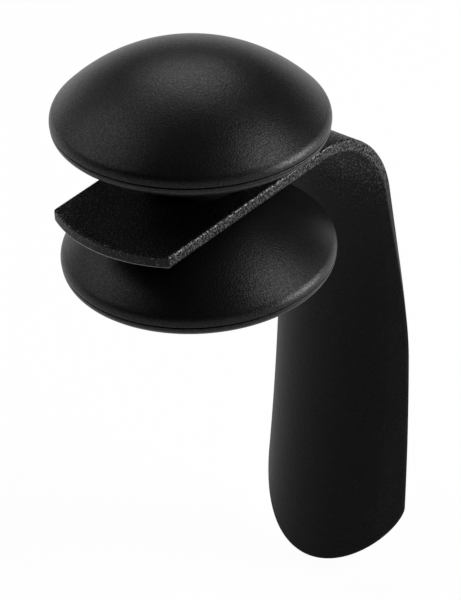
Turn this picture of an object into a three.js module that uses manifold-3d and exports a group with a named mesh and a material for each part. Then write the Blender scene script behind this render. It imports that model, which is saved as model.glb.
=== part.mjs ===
// Heel shaker: two lens-shaped pods of steel shot on a bracket that slips down
// the back of a shoe. Millimetres, +X forward to the wearer's toes, +Z up.
// The origin is on the arm's flat underside, where the collar of the shoe meets it.
import * as THREE from 'three';
import { mergeVertices } from 'three/addons/utils/BufferGeometryUtils.js';
import Module from 'manifold-3d';

// Pods
const POD_SETBACK = 20;           // pod axis behind the origin
const POD_RADIUS = 30;            // outer radius of the top shell
const DOME_RADIUS = 40;           // radius of the top shell's dome, outside
const PAN_RADIUS = 50;            // the same of the base shell, which is shallower
const SHELL_WALL = 1.4;
const TOP_SHOULDER = 3.2;         // round between dome and skirt
const TOP_SKIRT = 0.3;            // upright wall above the groove
const BASE_SHOULDER = 2;
const LIP_HEIGHT = 0.25;          // upright edge of the base below the seam
const LIP_SETBACK = 0.1;          // lip of the base inside the top shell's skirt
const INNER_SHOULDER = 1.5;
const SEAM_GROOVE = 0.3;          // shadow line between the two shells
const SKIRT_WALL = 1;             // thinned rim of the top shell, outside the spigot
const SPIGOT_WALL = 1;            // upstand of the base shell, inside the skirt
const FIT_GAP = 0.3;              // clearance between pieces that slide together
const UPPER_LEAN = THREE.MathUtils.degToRad(3.3); // the upper pod dips to the tongue

// Clamp: one bolt through the upper base, the arm and the lower top
const BOLT_RADIUS = 2;
const BOLT_CLEARANCE = 0.25;
const HEAD_RADIUS = 3.8;
const HEAD_HEIGHT = 2.6;
const HEAD_ROUND_SHARE = 0.3;     // rounded rim of the head, of its height
const SOCKET_RADIUS = 1.45;       // hexagon socket, to its corners
const SOCKET_DEPTH = 1.6;
const BOLT_END_CHAMFER = 0.4;
const BOLT_PROUD = 1;             // thread beyond the nut
const WASHER_RADIUS = 4.6;
const WASHER_THICKNESS = 0.8;
const NUT_RADIUS = 4.04;          // to its corners
const NUT_HEIGHT = 3.2;
const NECK_RADIUS = 11;           // outside, against the arm
const UPPER_NECK = 3;             // arm to the underside of the upper pod
const LOWER_NECK = 0.75;          // arm to the crown of the lower pod
const BOSS_RADIUS = 6.6;          // inside each shell
const HEAD_SEAT_RISE = 1.6;       // top of the upper boss above the inner floor
const NUT_SEAT = 4;               // plastic between the arm and the nut
const NUT_RECESS = 0.4;           // nut below the rim of its pocket

// Steel shot
const SHOT_RADIUS = 2.5;
const SHOT_GAP = 0.3;
const UPPER_RING = 12;
const LOWER_RINGS = [3, 9];

// Bracket, measured along its foot-side face from the start of the bend
const ARM_THICKNESS = 3;
const ARM_WIDTH = 32.1;
const ARM_END_RADIUS = 31.6;      // about the pod axis
const ARM_CORNER = 0.8;
const BEND_START = 4.3;           // ahead of the origin
const BEND_RADIUS = 20.6;         // outer face
const TONGUE_LEAN = THREE.MathUtils.degToRad(1.2);
const BOW_RADIUS = 520;           // the tongue bows back under the pods
const TONGUE_DROP = 119.8;        // origin down to the tip
const TONGUE_THICKNESS = 2;
const TONGUE_WIDTH = 38.2;        // widest, near the tip
const WIDEST_DROP = 107.6;
const TIP_LENGTH = 16.9;          // rounded end
const TIP_FULLNESS = 1.56;
const TROUGH_RADIUS = 25;         // hollow across the tongue that holds the heel
const TROUGH_START = 7.5;
const TROUGH_FULL = 79;
const EDGE_ROUND = 0.4;
const COLLAR_CLEARANCE = 1;       // neck of the lower pod to the collar's rest

// Facets
const TURN_STEPS = 48;
const DOME_STEPS = 5;
const SHOULDER_STEPS = 3;
const SMALL_STEPS = 24;
const HALF_WIDTH_STEPS = 5;
const END_STEPS = 5;
const CORNER_STEPS = 3;
const BEND_STEPS = 14;
const TONGUE_STEPS = 16;
const TIP_STEPS = 9;
const CUT_OVERRUN = 1;
const SAME_PLACE = 0.001;
const LEAN_AXIS = new THREE.Vector3(0, 1, 0);

const wasm = await Module();
wasm.setup();

function toSolid(geometry) {
  const bare = geometry.clone();
  bare.deleteAttribute('normal');
  bare.deleteAttribute('uv');
  const merged = mergeVertices(bare);
  return new wasm.Manifold(new wasm.Mesh({
    numProp: 3,
    vertProperties: new Float32Array(merged.attributes.position.array),
    triVerts: new Uint32Array(merged.index.array),
  }));
}

function toGeometry(solid) {
  const mesh = solid.getMesh();
  const geometry = new THREE.BufferGeometry();
  geometry.setAttribute('position', new THREE.BufferAttribute(new Float32Array(mesh.vertProperties), 3));
  geometry.setIndex(new THREE.BufferAttribute(new Uint32Array(mesh.triVerts), 1));
  const flat = geometry.toNonIndexed();
  flat.computeVertexNormals();
  return flat;
}

// Lathe about +Z from [radius, height] pairs, listed so that the faces point out
function turned(profile, steps = TURN_STEPS) {
  const points = profile.map(([r, z]) => new THREE.Vector2(r, z));
  return new THREE.LatheGeometry(points, steps).rotateX(Math.PI / 2);
}

function rod(radius, bottom, top, steps = SMALL_STEPS) {
  return new THREE.CylinderGeometry(radius, radius, top - bottom, steps)
    .rotateX(Math.PI / 2)
    .translate(0, 0, (bottom + top) / 2);
}

// Height of half a lens: a shallow dome that turns through a shoulder to an upright rim
function lensRise(rim, capRadius, shoulder) {
  return capRadius - Math.sqrt((capRadius - shoulder) ** 2 - (rim - shoulder) ** 2);
}

// The same half lens as [radius, drop below the crown], from the start radius outwards
function lensProfile(rim, capRadius, shoulder, startRadius) {
  const rise = lensRise(rim, capRadius, shoulder);
  const domeEnd = Math.asin((rim - shoulder) / (capRadius - shoulder));
  const domeStart = Math.asin(startRadius / capRadius);
  const points = [];
  for (let i = 0; i <= DOME_STEPS; i += 1) {
    const angle = THREE.MathUtils.lerp(domeStart, domeEnd, i / DOME_STEPS);
    points.push([capRadius * Math.sin(angle), capRadius * (1 - Math.cos(angle))]);
  }
  for (let i = 1; i <= SHOULDER_STEPS; i += 1) {
    const angle = THREE.MathUtils.lerp(domeEnd, Math.PI / 2, i / SHOULDER_STEPS);
    points.push([
      rim - shoulder + shoulder * Math.sin(angle),
      rise - shoulder * Math.cos(angle),
    ]);
  }
  return points;
}

const lipRadius = POD_RADIUS - LIP_SETBACK;
const skirtInner = POD_RADIUS - SKIRT_WALL;
const spigotOuter = skirtInner - FIT_GAP;
const spigotInner = spigotOuter - SPIGOT_WALL;
const innerDome = DOME_RADIUS - SHELL_WALL;
const innerPan = PAN_RADIUS - SHELL_WALL;
const innerRise = lensRise(spigotInner, innerDome, INNER_SHOULDER);
const boltBore = BOLT_RADIUS + BOLT_CLEARANCE;

// Heights from the seam: the top's crown, the base's depth and the rebate for the spigot
const crown = SEAM_GROOVE + TOP_SKIRT + lensRise(POD_RADIUS, DOME_RADIUS, TOP_SHOULDER);
const baseDepth = LIP_HEIGHT + lensRise(lipRadius, PAN_RADIUS, BASE_SHOULDER);
const rebateTop = crown - SHELL_WALL - innerRise;
const spigotTop = rebateTop - FIT_GAP;
const upperStandoff = UPPER_NECK + baseDepth;
const lowerStandoff = LOWER_NECK + crown;
const headSeat = SHELL_WALL + HEAD_SEAT_RISE - baseDepth;
const nutSeat = lowerStandoff - NUT_SEAT;
const nutBottom = nutSeat - NUT_HEIGHT;

// Top shell, seam at z = 0. With a hub it has a neck above and a boss below for the nut.
function topShell(hub) {
  const outer = lensProfile(POD_RADIUS, DOME_RADIUS, TOP_SHOULDER, hub ? NECK_RADIUS : 0)
    .map(([r, drop]) => [r, crown - drop]);
  const inner = lensProfile(spigotInner, innerDome, INNER_SHOULDER, hub ? BOSS_RADIUS : 0)
    .map(([r, drop]) => [r, crown - SHELL_WALL - drop]);
  const rim = [
    [POD_RADIUS, SEAM_GROOVE],
    [skirtInner, SEAM_GROOVE],
    [skirtInner, rebateTop],
  ];
  const shell = [...outer, ...rim, ...inner.reverse()];
  if (!hub) {
    return turned(shell.reverse());
  }
  const bossEnd = nutBottom - NUT_RECESS;
  const hubPart = [
    [BOSS_RADIUS, bossEnd],
    [boltBore, bossEnd],
    [boltBore, lowerStandoff],
    [NECK_RADIUS, lowerStandoff],
  ];
  const closed = [...shell, ...hubPart];
  closed.push(closed[0]);
  const pocket = rod(NUT_RADIUS + FIT_GAP, bossEnd - CUT_OVERRUN, nutSeat, 6);
  return toGeometry(toSolid(turned(closed.reverse())).subtract(toSolid(pocket)));
}

// Base shell, seam at z = 0. With a hub it has a neck below and a boss above for the bolt's head.
function baseShell(hub) {
  const outer = lensProfile(lipRadius, PAN_RADIUS, BASE_SHOULDER, hub ? NECK_RADIUS : 0)
    .map(([r, drop]) => [r, drop - baseDepth]);
  const inner = lensProfile(spigotInner, innerPan, INNER_SHOULDER, hub ? BOSS_RADIUS : 0)
    .map(([r, drop]) => [r, drop - baseDepth + SHELL_WALL]);
  const rim = [
    [lipRadius, 0],
    [spigotOuter, 0],
    [spigotOuter, spigotTop],
    [spigotInner, spigotTop],
  ];
  const shell = [...outer, ...rim, ...inner.reverse()];
  if (!hub) {
    return turned(shell);
  }
  const hubPart = [
    [BOSS_RADIUS, headSeat],
    [boltBore, headSeat],
    [boltBore, -upperStandoff],
    [NECK_RADIUS, -upperStandoff],
  ];
  const closed = [...shell, ...hubPart];
  closed.push(closed[0]);
  return turned(closed);
}

// A shell of the upper pod, leaned about its seam. The faces against the arm and the
// washer stay square to the bolt.
function leaned(geometry) {
  const shell = geometry.clone();
  const position = shell.attributes.position;
  const point = new THREE.Vector3();
  for (let i = 0; i < position.count; i += 1) {
    point.fromBufferAttribute(position, i);
    const fromSeat = Math.min(Math.abs(point.z - headSeat), Math.abs(point.z + upperStandoff));
    if (fromSeat > SAME_PLACE) {
      point.applyAxisAngle(LEAN_AXIS, UPPER_LEAN);
      position.setXYZ(i, point.x, point.y, point.z);
    }
  }
  shell.computeVertexNormals();
  return shell;
}

// Bolt with its axis on +Z, the underside of its head at z = 0
function boltShape(length) {
  const round = HEAD_HEIGHT * HEAD_ROUND_SHARE;
  const body = turned([
    [0, -length],
    [BOLT_RADIUS - BOLT_END_CHAMFER, -length],
    [BOLT_RADIUS, -length + BOLT_END_CHAMFER],
    [BOLT_RADIUS, 0],
    [HEAD_RADIUS, 0],
    [HEAD_RADIUS, HEAD_HEIGHT - round],
    [HEAD_RADIUS - round, HEAD_HEIGHT],
    [0, HEAD_HEIGHT],
  ], SMALL_STEPS);
  const socket = rod(SOCKET_RADIUS, HEAD_HEIGHT - SOCKET_DEPTH, HEAD_HEIGHT + CUT_OVERRUN, 6);
  return toGeometry(toSolid(body).subtract(toSolid(socket)));
}

// Ring from z = 0 up, round or with six sides outside
function ringShape(outer, inner, height, sides = SMALL_STEPS) {
  const hole = rod(inner, -CUT_OVERRUN, height + CUT_OVERRUN);
  return toGeometry(toSolid(rod(outer, 0, height, sides)).subtract(toSolid(hole)));
}

function smooth(from, to, x) {
  const t = THREE.MathUtils.clamp((x - from) / (to - from), 0, 1);
  return t * t * (3 - 2 * t);
}

// One point on the path of the bracket's foot-side face: along the arm, round the
// bend and down the bowed tongue. Distance is 0 at the start of the bend.
const bendLength = BEND_RADIUS * (Math.PI / 2 + TONGUE_LEAN);
const bendEnd = {
  x: BEND_START + BEND_RADIUS * Math.cos(TONGUE_LEAN),
  z: ARM_THICKNESS - BEND_RADIUS - BEND_RADIUS * Math.sin(TONGUE_LEAN),
};

function pathPoint(distance) {
  if (distance <= 0) {
    return { x: BEND_START + distance, z: ARM_THICKNESS, heading: 0 };
  }
  if (distance <= bendLength) {
    const heading = distance / BEND_RADIUS;
    return {
      x: BEND_START + BEND_RADIUS * Math.sin(heading),
      z: ARM_THICKNESS - BEND_RADIUS * (1 - Math.cos(heading)),
      heading,
    };
  }
  const start = Math.PI / 2 + TONGUE_LEAN;
  const heading = start + (distance - bendLength) / BOW_RADIUS;
  return {
    x: bendEnd.x + BOW_RADIUS * (Math.sin(heading) - Math.sin(start)),
    z: bendEnd.z - BOW_RADIUS * (Math.cos(start) - Math.cos(heading)),
    heading,
  };
}

const tongueLength = bendLength + BOW_RADIUS * (
  Math.acos(Math.cos(Math.PI / 2 + TONGUE_LEAN) - (TONGUE_DROP + bendEnd.z) / BOW_RADIUS)
  - Math.PI / 2 - TONGUE_LEAN);
const widestAt = bendLength + WIDEST_DROP + bendEnd.z;
const tipStart = tongueLength - TIP_LENGTH;

// Half the width of the plate at a distance along the path
function halfWidth(distance) {
  const fromPodAxis = POD_SETBACK + BEND_START + distance;
  const cornerX = -Math.sqrt((ARM_END_RADIUS - ARM_CORNER) ** 2 - (ARM_WIDTH / 2 - ARM_CORNER) ** 2);
  const arcEnd = cornerX * ARM_END_RADIUS / (ARM_END_RADIUS - ARM_CORNER);
  if (fromPodAxis < arcEnd) {
    return Math.sqrt(ARM_END_RADIUS ** 2 - fromPodAxis ** 2);
  }
  if (fromPodAxis < cornerX) {
    return ARM_WIDTH / 2 - ARM_CORNER + Math.sqrt(ARM_CORNER ** 2 - (fromPodAxis - cornerX) ** 2);
  }
  const full = THREE.MathUtils.lerp(
    ARM_WIDTH / 2, TONGUE_WIDTH / 2, smooth(TROUGH_START, widestAt, distance));
  const intoTip = THREE.MathUtils.clamp((distance - tipStart) / TIP_LENGTH, 0, 1);
  return full * Math.sqrt(1 - intoTip ** TIP_FULLNESS);
}

// Closed section of the plate across its path, as points in space
function section(distance) {
  const { x, z, heading } = pathPoint(distance);
  const curve = smooth(TROUGH_START, TROUGH_FULL, distance) / TROUGH_RADIUS;
  const thickness = THREE.MathUtils.lerp(
    ARM_THICKNESS, TONGUE_THICKNESS, smooth(0, TROUGH_FULL, distance));
  const half = halfWidth(distance);
  const reach = curve > 0 ? Math.asin(curve * half) / curve : half;
  const round = Math.min(EDGE_ROUND, reach / 2);
  const at = (along, depth) => {
    const turn = curve * along;
    const across = (curve > 0 ? Math.sin(turn) / curve : along) + depth * Math.sin(turn);
    const out = (curve > 0 ? (1 - Math.cos(turn)) / curve : 0) - depth * Math.cos(turn);
    return [x + out * Math.sin(heading), across, z + out * Math.cos(heading)];
  };
  const ring = [];
  for (let i = -HALF_WIDTH_STEPS; i <= HALF_WIDTH_STEPS; i += 1) {
    ring.push(at((reach - round) * i / HALF_WIDTH_STEPS, 0));
  }
  ring.push(at(reach, round), at(reach, thickness - round));
  for (let i = HALF_WIDTH_STEPS; i >= -HALF_WIDTH_STEPS; i -= 1) {
    ring.push(at((reach - round) * i / HALF_WIDTH_STEPS, thickness));
  }
  ring.push(at(-reach, thickness - round), at(-reach, round));
  return ring;
}

// Skin over a row of closed sections, with a flat lid on each end
function loft(sections) {
  const count = sections[0].length;
  const positions = sections.flat(2);
  const index = [];
  for (let s = 0; s + 1 < sections.length; s += 1) {
    for (let i = 0; i < count; i += 1) {
      const a = s * count + i;
      const b = s * count + (i + 1) % count;
      index.push(a, a + count, b, b, a + count, b + count);
    }
  }
  const last = (sections.length - 1) * count;
  for (let i = 1; i + 1 < count; i += 1) {
    index.push(0, i, i + 1, last, last + i + 1, last + i);
  }
  const geometry = new THREE.BufferGeometry();
  geometry.setAttribute('position', new THREE.Float32BufferAttribute(positions, 3));
  geometry.setIndex(index);
  return geometry;
}

function bracketStations() {
  const stations = [];
  const podAxis = -POD_SETBACK - BEND_START;
  const cornerReach = ARM_END_RADIUS - ARM_CORNER;
  const arcAngle = Math.asin((ARM_WIDTH / 2 - ARM_CORNER) / cornerReach);
  for (let i = 0; i < END_STEPS; i += 1) {
    const angle = arcAngle * (i + 1 / 4) / END_STEPS;
    stations.push(podAxis - ARM_END_RADIUS * Math.cos(angle));
  }
  const cornerAt = podAxis - cornerReach * Math.cos(arcAngle);
  for (let i = 0; i <= CORNER_STEPS; i += 1) {
    const angle = THREE.MathUtils.lerp(Math.PI / 2 - arcAngle, 0, i / CORNER_STEPS);
    stations.push(cornerAt - ARM_CORNER * Math.sin(angle));
  }
  // The underside ahead of the neck, where the collar rests, is a row of facets of its own
  stations.push(podAxis + NECK_RADIUS + COLLAR_CLEARANCE);
  for (let i = 0; i <= BEND_STEPS; i += 1) {
    stations.push(bendLength * i / BEND_STEPS);
  }
  for (let i = 1; i <= TONGUE_STEPS; i += 1) {
    stations.push(THREE.MathUtils.lerp(bendLength, tipStart, i / TONGUE_STEPS));
  }
  for (let i = 1; i <= TIP_STEPS; i += 1) {
    stations.push(tipStart + TIP_LENGTH * Math.sin(Math.PI / 2 * (i - 1 / 4) / TIP_STEPS));
  }
  return stations;
}

function bracketShape() {
  const plate = toSolid(loft(bracketStations().map(section)));
  const bore = rod(boltBore, -CUT_OVERRUN, ARM_THICKNESS + CUT_OVERRUN).translate(-POD_SETBACK, 0, 0);
  return toGeometry(plate.subtract(toSolid(bore)));
}

// Shot at rest on a base shell's floor, on a ring about the pod axis, seam at z = 0
function shotPlace(ringRadius, angle, lean) {
  const centre = PAN_RADIUS - baseDepth;
  const reach = innerPan - SHOT_RADIUS - SHOT_GAP;
  return new THREE.Vector3(
    ringRadius * Math.cos(angle),
    ringRadius * Math.sin(angle),
    centre - Math.sqrt(reach ** 2 - ringRadius ** 2),
  ).applyAxisAngle(LEAN_AXIS, lean);
}

function ringRadiusFor(count) {
  return (2 * SHOT_RADIUS + SHOT_GAP) / (2 * Math.sin(Math.PI / count));
}

const part = new THREE.Group();

const plastic = { color: 0x0b0b0c, roughness: 0.55, metalness: 0 };
const grained = { color: 0x0a0a0a, roughness: 0.7, metalness: 0 };
const steel = { color: 0x9c9ea1, roughness: 0.3, metalness: 1 };

function add(parent, name, geometry, look, place = [0, 0, 0]) {
  const mesh = new THREE.Mesh(geometry, new THREE.MeshStandardMaterial(look));
  mesh.name = name;
  mesh.position.set(...place);
  parent.add(mesh);
}

function addShot(pod, prefix, rings, lean) {
  let number = 1;
  for (const [count, radius] of rings) {
    for (let i = 0; i < count; i += 1) {
      const angle = 2 * Math.PI * (i + 1 / 2) / count;
      const name = `${prefix}_shot_${String(number).padStart(2, '0')}`;
      add(pod, name, new THREE.IcosahedronGeometry(SHOT_RADIUS, 1), steel, shotPlace(radius, angle, lean));
      number += 1;
    }
  }
}

const upperPod = new THREE.Group();
upperPod.position.set(-POD_SETBACK, 0, ARM_THICKNESS + upperStandoff);
const lowerPod = new THREE.Group();
lowerPod.position.set(-POD_SETBACK, 0, -lowerStandoff);
part.add(upperPod, lowerPod);

add(part, 'heel_bracket', bracketShape(), grained);
add(upperPod, 'upper_top_shell', leaned(topShell(false)), plastic);
add(upperPod, 'upper_base_shell', leaned(baseShell(true)), plastic);
add(lowerPod, 'lower_top_shell', topShell(true), plastic);
add(lowerPod, 'lower_base_shell', baseShell(false), plastic);

const headUnderside = headSeat + WASHER_THICKNESS;
const boltLength = headUnderside + upperStandoff + ARM_THICKNESS + NUT_SEAT + NUT_HEIGHT + BOLT_PROUD;
add(upperPod, 'clamp_bolt', boltShape(boltLength), steel, [0, 0, headUnderside]);
add(upperPod, 'bolt_washer', ringShape(WASHER_RADIUS, boltBore, WASHER_THICKNESS), steel, [0, 0, headSeat]);
add(lowerPod, 'clamp_nut', ringShape(NUT_RADIUS, boltBore, NUT_HEIGHT, 6), steel, [0, 0, nutBottom]);

const [innerCount, outerCount] = LOWER_RINGS;
const innerRing = ringRadiusFor(innerCount);
const outerRing = Math.max(ringRadiusFor(outerCount), innerRing + 2 * SHOT_RADIUS + SHOT_GAP);
const upperRing = Math.max(ringRadiusFor(UPPER_RING), BOSS_RADIUS + SHOT_RADIUS + SHOT_GAP);
addShot(upperPod, 'upper', [[UPPER_RING, upperRing]], UPPER_LEAN);
addShot(lowerPod, 'lower', [[innerCount, innerRing], [outerCount, outerRing]], 0);

export default part;
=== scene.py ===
"""Heel shaker: smooth plastic shells, a formed bracket, the clamp and the shot, set
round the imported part, with their finishes, a pale floor, soft lamps and a camera.
Blender units are metres. +X runs forward from the pods to the tongue, +Z up."""

import math

import bmesh
import bpy
from bpy.props import FloatProperty, FloatVectorProperty, IntProperty, PointerProperty
from mathutils import Matrix, Vector


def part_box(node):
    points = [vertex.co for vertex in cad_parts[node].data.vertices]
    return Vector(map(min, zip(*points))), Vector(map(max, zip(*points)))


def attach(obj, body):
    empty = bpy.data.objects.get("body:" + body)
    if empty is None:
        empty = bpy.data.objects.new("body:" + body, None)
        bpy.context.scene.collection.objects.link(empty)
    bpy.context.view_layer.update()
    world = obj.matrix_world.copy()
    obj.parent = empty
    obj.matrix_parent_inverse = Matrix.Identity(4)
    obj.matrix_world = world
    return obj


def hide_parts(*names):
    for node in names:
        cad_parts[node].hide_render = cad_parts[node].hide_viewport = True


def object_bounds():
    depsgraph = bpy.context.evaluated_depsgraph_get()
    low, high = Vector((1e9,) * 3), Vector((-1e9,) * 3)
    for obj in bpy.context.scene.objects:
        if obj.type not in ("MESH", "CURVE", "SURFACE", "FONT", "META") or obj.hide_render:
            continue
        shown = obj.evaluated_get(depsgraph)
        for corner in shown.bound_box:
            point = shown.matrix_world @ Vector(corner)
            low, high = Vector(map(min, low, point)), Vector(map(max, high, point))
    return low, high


bl_info = {
    "name": "Heel Shaker",
    "version": (1, 0, 0),
    "blender": (4, 5, 0),
    "location": "3D View > Sidebar > Heel Shaker",
    "description": "Builds a foot percussion shaker round its packed frame",
    "category": "Object",
}

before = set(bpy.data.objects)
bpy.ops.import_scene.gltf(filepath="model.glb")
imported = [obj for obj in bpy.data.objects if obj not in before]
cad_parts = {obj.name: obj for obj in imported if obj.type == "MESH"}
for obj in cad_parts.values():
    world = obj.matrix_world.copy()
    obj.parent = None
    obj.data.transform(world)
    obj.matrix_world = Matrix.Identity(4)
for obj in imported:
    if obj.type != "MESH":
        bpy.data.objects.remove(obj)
cad_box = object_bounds()

MM = 0.001
ROOT = "shaker"
HALF_TURN = math.pi
QUARTER_TURN = math.pi / 2
SAME_PLACE = 1e-6            # metres; points nearer than this are one
LEVEL = 0.01 * MM            # points nearer than this in height lie level


def size(name, description, millimetres):
    """A length property, given in millimetres."""
    return FloatProperty(
        name=name, description=description, default=millimetres * MM,
        unit="LENGTH", precision=5)


def share(name, description, default):
    """A property from 0 to 1."""
    return FloatProperty(
        name=name, description=description, default=default,
        min=0, max=1, subtype="FACTOR")


def colour(name, description, default):
    """A linear colour property."""
    return FloatVectorProperty(
        name=name, description=description, default=default,
        size=3, min=0, max=1, subtype="COLOR")


# The pods are set round the axis of the bolt, on both faces of the arm
NUT_LOW, NUT_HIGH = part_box("clamp_nut")
POD_AXIS_X = (NUT_LOW.x + NUT_HIGH.x) / 2
ARM_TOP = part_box("upper_base_shell")[0].z
ARM_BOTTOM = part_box("lower_top_shell")[1].z


class PodSizes(bpy.types.PropertyGroup):
    """Sizes of the two lens-shaped pods, measured from the seam of each."""

    radius: size("Radius", "Outer radius of the top shell", 30)
    dome_radius: size("Dome radius", "Radius of the top's dome, outside", 40)
    pan_radius: size("Pan radius", "Radius of the shallower base, outside", 50)
    wall: size("Wall", "Thickness of the shells", 1.4)
    top_shoulder: size("Top shoulder", "Round between dome and skirt", 3.2)
    top_skirt: size("Top skirt", "Upright wall above the groove", 0.3)
    base_shoulder: size("Base shoulder", "Round between base and lip", 2)
    inner_shoulder: size("Inner shoulder", "Round inside both shells", 1.5)
    lip_height: size("Lip height", "Upright edge of the base", 0.25)
    lip_setback: size("Lip setback", "Lip of the base inside the top's skirt", 0.1)
    groove: size("Groove", "Shadow line between the shells", 0.3)
    skirt_wall: size("Skirt wall", "Rim of the top outside the spigot", 1)
    spigot_wall: size("Spigot wall", "Upstand of the base inside the skirt", 1)
    fit_gap: size("Fit gap", "Clearance between the two shells", 0.3)
    neck_radius: size("Neck radius", "Neck that stands on the arm", 11)
    upper_neck: size("Upper neck", "Arm to the underside of the upper pod", 3)
    lower_neck: size("Lower neck", "Arm to the crown of the lower pod", 0.75)
    neck_fillet: size("Neck fillet", "Round between neck and dome", 0.8)
    lean: FloatProperty(
        name="Lean", description="The upper pod dips to the tongue",
        default=math.radians(3.3), subtype="ANGLE")
    boss_radius: size("Boss radius", "Boss for the bolt or the nut", 6.6)
    boss_rise: size("Boss rise", "Boss above the base's inner floor", 1.6)
    edge_round: size("Edge round", "Small round on the moulded edges", 0.12)
    turn_steps: IntProperty(
        name="Turn steps", description="Faces round the pod, a multiple of 6",
        default=168, min=24)


class BracketSizes(bpy.types.PropertyGroup):
    """Sizes of the bracket, measured along its foot-side face from the bend."""

    arm_thickness: size("Arm thickness", "Plate under the pods", 3)
    arm_width: size("Arm width", "Plate under the pods", 32.1)
    end_radius: size("End radius", "Rounded end of the arm, about the pods", 31.6)
    end_corner: size("End corner", "Round where the end meets the sides", 0.8)
    bend_start: size("Bend start", "Ahead of the origin", 4.3)
    bend_radius: size("Bend radius", "Outer face of the bend", 20.6)
    lean: FloatProperty(
        name="Lean", description="Tongue past the upright at the bend",
        default=math.radians(1.2), subtype="ANGLE")
    bow_radius: size("Bow radius", "The tongue bows back under the pods", 520)
    tongue_drop: size("Tongue drop", "Arm's underside down to the tip", 119.8)
    tongue_thickness: size("Tongue thickness", "Plate inside the shoe", 2)
    tongue_width: size("Tongue width", "Widest place", 38.2)
    widest_drop: size("Widest drop", "Arm's underside to the widest place", 107.6)
    tip_length: size("Tip length", "Rounded end of the tongue", 16.9)
    tip_fullness: FloatProperty(
        name="Tip fullness", description="Squareness of the rounded end",
        default=1.56, min=1, max=4)
    trough_radius: size("Trough radius", "Hollow that holds the heel", 25)
    trough_start: size("Trough start", "Along the path from the bend", 7.5)
    trough_full: size("Trough full", "Along the path from the bend", 79)
    edge_round: size("Edge round", "Round on the moulded edges", 0.6)
    cell: size("Cell", "Faces along and across the plate", 1.5)


class ClampSizes(bpy.types.PropertyGroup):
    """Sizes of the bolt, washer and nut."""

    bolt_radius: size("Bolt radius", "Crest of the thread", 2)
    pitch: size("Pitch", "Thread's rise in a turn", 0.7)
    thread_length: size("Thread length", "From the bolt's end", 14)
    bore_clearance: size("Bore clearance", "Round the bolt in its bore", 0.25)
    head_radius: size("Head radius", "Button head", 3.8)
    head_height: size("Head height", "Button head", 2.6)
    socket_radius: size("Socket radius", "Hexagon socket, to its corners", 1.45)
    socket_depth: size("Socket depth", "Hexagon socket", 1.6)
    washer_radius: size("Washer radius", "Under the bolt's head", 4.6)
    washer_thickness: size("Washer thickness", "Under the bolt's head", 0.8)
    nut_radius: size("Nut radius", "Hexagon, to its corners", 4.04)
    nut_height: size("Nut height", "Hexagon", 3.2)
    nut_seat: size("Nut seat", "Plastic between the arm and the nut", 4)
    nut_recess: size("Nut recess", "Nut inside the rim of its pocket", 0.4)


class Finishes(bpy.types.PropertyGroup):
    """Colours and surface values of the four materials."""

    pod_colour: colour("Pod plastic", "Black moulded plastic", (0.004, 0.004, 0.0042))
    pod_roughness: share("Pod roughness", "Satin of the pods", 0.36)
    bracket_colour: colour("Bracket plastic", "Black moulded plastic", (0.004, 0.004, 0.0042))
    bracket_roughness: share("Bracket roughness", "Satin of the bracket", 0.42)
    pod_ior: FloatProperty(
        name="Pod IOR", description="Gloss of the pods", default=1.24, min=1, max=2)
    bracket_ior: FloatProperty(
        name="Bracket IOR", description="Gloss of the bracket", default=1.15, min=1, max=2)
    # A painted highlight, not a colour of the plastic: the pale line along the lower edge of
    # the arm's end
    parting_highlight_colour: colour(
        "Painted parting highlight", "Painted highlight along the lower edge of the arm's end", (0.35, 0.35, 0.35))
    zinc_colour: colour("Zinc plate", "Bolt, washer and nut", (0.55, 0.56, 0.57))
    shot_colour: colour("Steel shot", "Polished balls", (0.5, 0.5, 0.51))
    floor_colour: colour("Floor", "Plain and pale", (0.92, 0.92, 0.92))


class StudioSizes(bpy.types.PropertyGroup):
    """Camera, floor and lamps."""

    camera_place: FloatVectorProperty(
        name="Camera place", description="Where the photograph was taken from",
        default=(-0.51157, -0.44226, 0.41949), size=3, subtype="TRANSLATION")
    camera_turn: FloatVectorProperty(
        name="Camera turn", description="Tilt up from straight down, roll and heading",
        default=[math.radians(angle) for angle in (55.77202, 2.77364, -50.44533)],
        size=3, subtype="EULER")
    lens: FloatProperty(
        name="Lens", description="Focal length for a sensor 24 mm high",
        default=146.19, min=1)
    floor_drop: size("Floor drop", "Floor below the tip", 1.5)
    sweep_radius: size("Sweep radius", "Round floor out to its upturned rim", 3000)
    sweep_round: size("Sweep round", "Curve from the floor up into the backdrop", 350)
    sweep_height: size("Sweep height", "Backdrop above the floor", 450)
    floor_share: share("Floor white", "White in what camera and gloss see", 0.96)
    lamp_distance: size("Lamp distance", "From the part to each lamp", 700)
    lamp_power: FloatProperty(
        name="Lamp power", description="Scales every lamp", default=1, min=0)
    world_light: FloatProperty(
        name="World light", description="Even light from all round",
        default=0.0, min=0)


class ShakerSettings(bpy.types.PropertyGroup):
    """Everything that a user of the part would change."""

    pods: PointerProperty(type=PodSizes)
    bracket: PointerProperty(type=BracketSizes)
    clamp: PointerProperty(type=ClampSizes)
    finishes: PointerProperty(type=Finishes)
    studio: PointerProperty(type=StudioSizes)


# Materials


class Wire:
    """One socket of a material's nodes, with Python's operators for its maths."""

    def __init__(self, finish, socket):
        self.finish = finish
        self.socket = socket

    def maths(self, operation, *values, **settings):
        """The result of one Math node."""
        return self.finish.node(
            "ShaderNodeMath", {"operation": operation, **settings}, dict(enumerate(values)))

    def __add__(self, other):
        return self.maths("ADD", self, other)

    def __sub__(self, other):
        return self.maths("SUBTRACT", self, other)

    def __rsub__(self, other):
        return self.maths("SUBTRACT", other, self)

    def __mul__(self, other):
        return self.maths("MULTIPLY", self, other)

    __radd__, __rmul__ = __add__, __mul__

    def __pow__(self, other):
        return self.maths("POWER", self, other)

    def ramp(self, low, high):
        """0 at low and below, 1 at high and above, smooth between."""
        return self.finish.node(
            "ShaderNodeMapRange", {"interpolation_type": "SMOOTHSTEP"},
            {"Value": self, "From Min": low, "From Max": high})


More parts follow.
